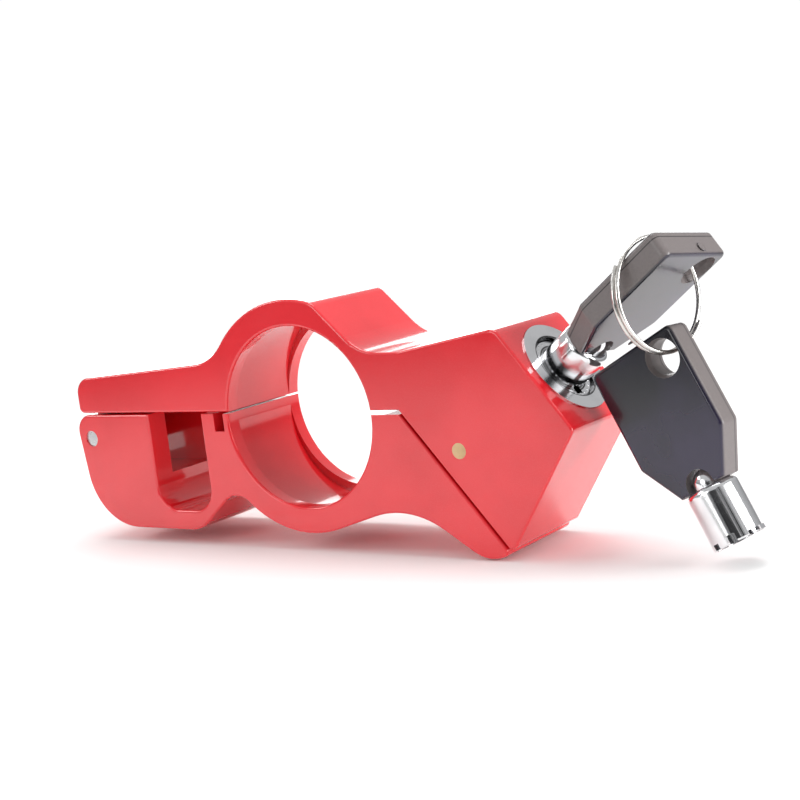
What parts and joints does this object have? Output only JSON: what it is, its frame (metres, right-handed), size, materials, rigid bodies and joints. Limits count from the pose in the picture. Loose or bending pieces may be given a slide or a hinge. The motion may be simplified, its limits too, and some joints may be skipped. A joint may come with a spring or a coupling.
{
  "type": "handlebar grip lock",
  "caption": "Hinged clamp block that closes round a handlebar grip and holds the brake lever, with a tubular cam lock, its key in the lock and a spare key on a split ring.",
  "frame": {"origin": "centre of the grip bore, halfway through the block's thickness", "axes": "+X from the hinge end to the lock end, +Y along the grip bore away from the viewer of the front face, +Z from the lower jaw to the upper jaw; shown unlocked, shut, with a key in"},
  "size_m": [0.1544, 0.0246, 0.0565],
  "materials": {
    "red_lacquer": "glossy clear red finish",
    "pin_steel": "bright turned ends",
    "lock_chrome": "polished",
    "plug_metal": "machined",
    "lock_steel": "machined",
    "pin_brass": "bright",
    "key_chrome": "polished",
    "key_plastic": "moulded, glossy",
    "ring_wire": "nickel plated"
  },
  "bodies": {
    "upper_jaw": {"upper_jaw": "red_lacquer", "lock_barrel": "lock_chrome", "front_bushing": "lock_chrome", "stator": "plug_metal", "barrel_retaining_pin": "pin_brass", "driver_springs": "lock_steel"},
    "lower_jaw": {"lower_jaw": "red_lacquer", "hinge_pin": "pin_steel"},
    "rotor": {"rotor": "plug_metal", "spindle": "lock_steel", "retaining_clip": "lock_steel", "turn_bolt": "lock_steel"},
    "key_pins": {"key_pins": "pin_brass"},
    "driver_pins": {"driver_pins": "lock_steel"},
    "key_1": {"key_1_tube": "key_chrome", "key_1_head_front": "key_plastic", "key_1_head_back": "key_plastic"},
    "key_ring": {"key_ring": "ring_wire"},
    "key_2": {"key_2_tube": "key_chrome", "key_2_head_front": "key_plastic", "key_2_head_back": "key_plastic"}
  },
  "joints": [
    {"name": "jaw_hinge", "type": "hinge", "parent": "upper_jaw", "child": "lower_jaw", "pos_m": [-0.0583, 0, -0.0043], "axis": [0, 1, 0], "range_deg": [0, 100]},
    {"name": "key_turn", "type": "hinge", "parent": "upper_jaw", "child": "rotor", "pos_m": [0.05438, 0, 0.00683], "axis": [-0.7934, 0, -0.6088], "range_deg": [0, 90]},
    {"name": "key_1_pull", "type": "slide", "parent": "rotor", "child": "key_1", "axis": [0.7934, 0, 0.6088], "range_m": [0, 0.008]},
    {"name": "key_pins_travel", "type": "slide", "parent": "rotor", "child": "key_pins", "axis": [0.7934, 0, 0.6088], "range_m": [0, 0.0012]},
    {"name": "driver_pins_travel", "type": "slide", "parent": "upper_jaw", "child": "driver_pins", "axis": [0.7934, 0, 0.6088], "range_m": [0, 0.0012]},
    {"name": "ring_swing", "type": "hinge", "parent": "key_1", "child": "key_ring", "pos_m": [0.07808, 0.00535, 0.02408], "axis": [-0.6028, 0.1392, 0.7856], "range_deg": [-3, 20]},
    {"name": "key_2_swing", "type": "hinge", "parent": "key_ring", "child": "key_2", "pos_m": [0.07681, -0.00263, 0.00857], "axis": [0.1193, 0.9926, -0.0242], "range_deg": [-15, 4]}
  ],
  "couplings": [
    {"joint": "key_pins_travel", "follows": "key_1_pull", "ratio": 0.15},
    {"joint": "driver_pins_travel", "follows": "key_1_pull", "ratio": 0.15}
  ]
}
